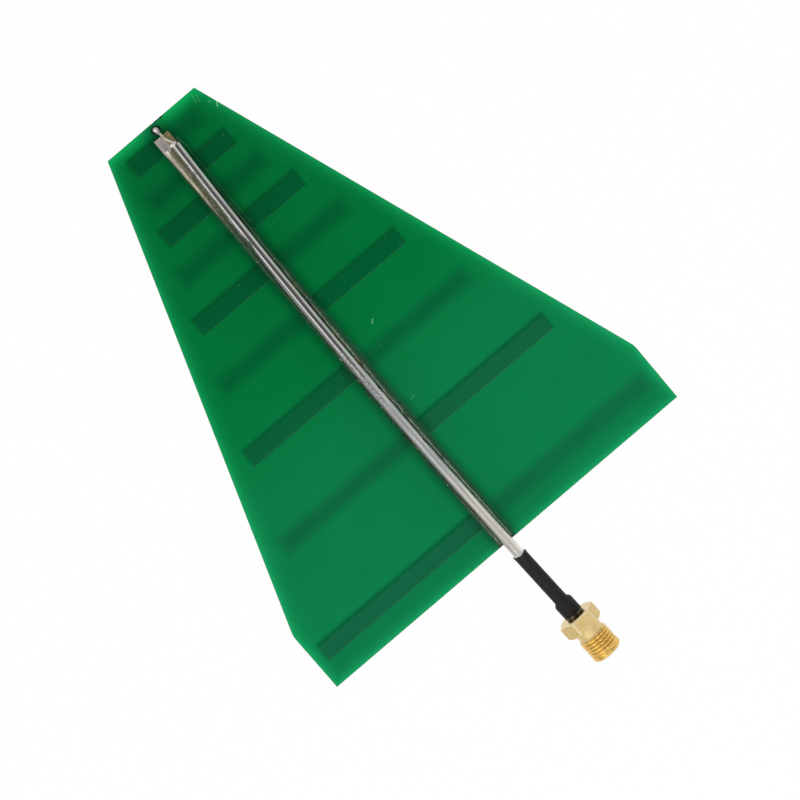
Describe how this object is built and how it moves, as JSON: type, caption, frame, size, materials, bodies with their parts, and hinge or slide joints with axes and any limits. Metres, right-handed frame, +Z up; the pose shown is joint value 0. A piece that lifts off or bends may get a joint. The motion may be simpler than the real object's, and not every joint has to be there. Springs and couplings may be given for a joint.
{
  "type": "log-periodic antenna",
  "caption": "Tapered green circuit board with printed dipoles on both sides, fed at the tip by a thin coaxial cable soldered along the boom and ending in a threaded coaxial jack.",
  "frame": {"origin": "on the board's underside, on the lacquer over the lower boom, at the middle of the board's length", "axes": "+Z up out of the side with the cable, +Y along the boom towards the narrow tip, +X to the right"},
  "size_m": [0.086, 0.1331, 0.0077],
  "materials": {
    "laminate": "glass-epoxy laminate, translucent, sawn edge",
    "tinned_copper": "hot-tinned copper foil, streaky",
    "solder_mask": "satin green lacquer, slightly translucent",
    "solder": "frosted solder with brown flux",
    "tinned_cable": "tinned cable, bright at the tip and frosted towards the jack",
    "white_insulation": "waxy white fluoropolymer",
    "plated_wire": "silver-plated wire",
    "heat_shrink": "matte black heat-shrink tube",
    "gold_plated_brass": "gold-plated turned brass"
  },
  "bodies": {
    "root": {"laminate": "laminate", "top_copper": "tinned_copper", "bottom_copper": "tinned_copper", "top_solder_mask": "solder_mask", "bottom_solder_mask": "solder_mask", "feed_via": "tinned_copper", "feed_solder": "solder", "boom_solder": "solder", "cable_outer_conductor": "tinned_cable", "cable_dielectric": "white_insulation", "cable_center_wire": "plated_wire", "ferrule_solder": "solder", "heat_shrink_sleeve": "heat_shrink", "connector_body": "gold_plated_brass", "connector_insulator": "white_insulation", "connector_contact": "gold_plated_brass"}
  },
  "joints": []
}
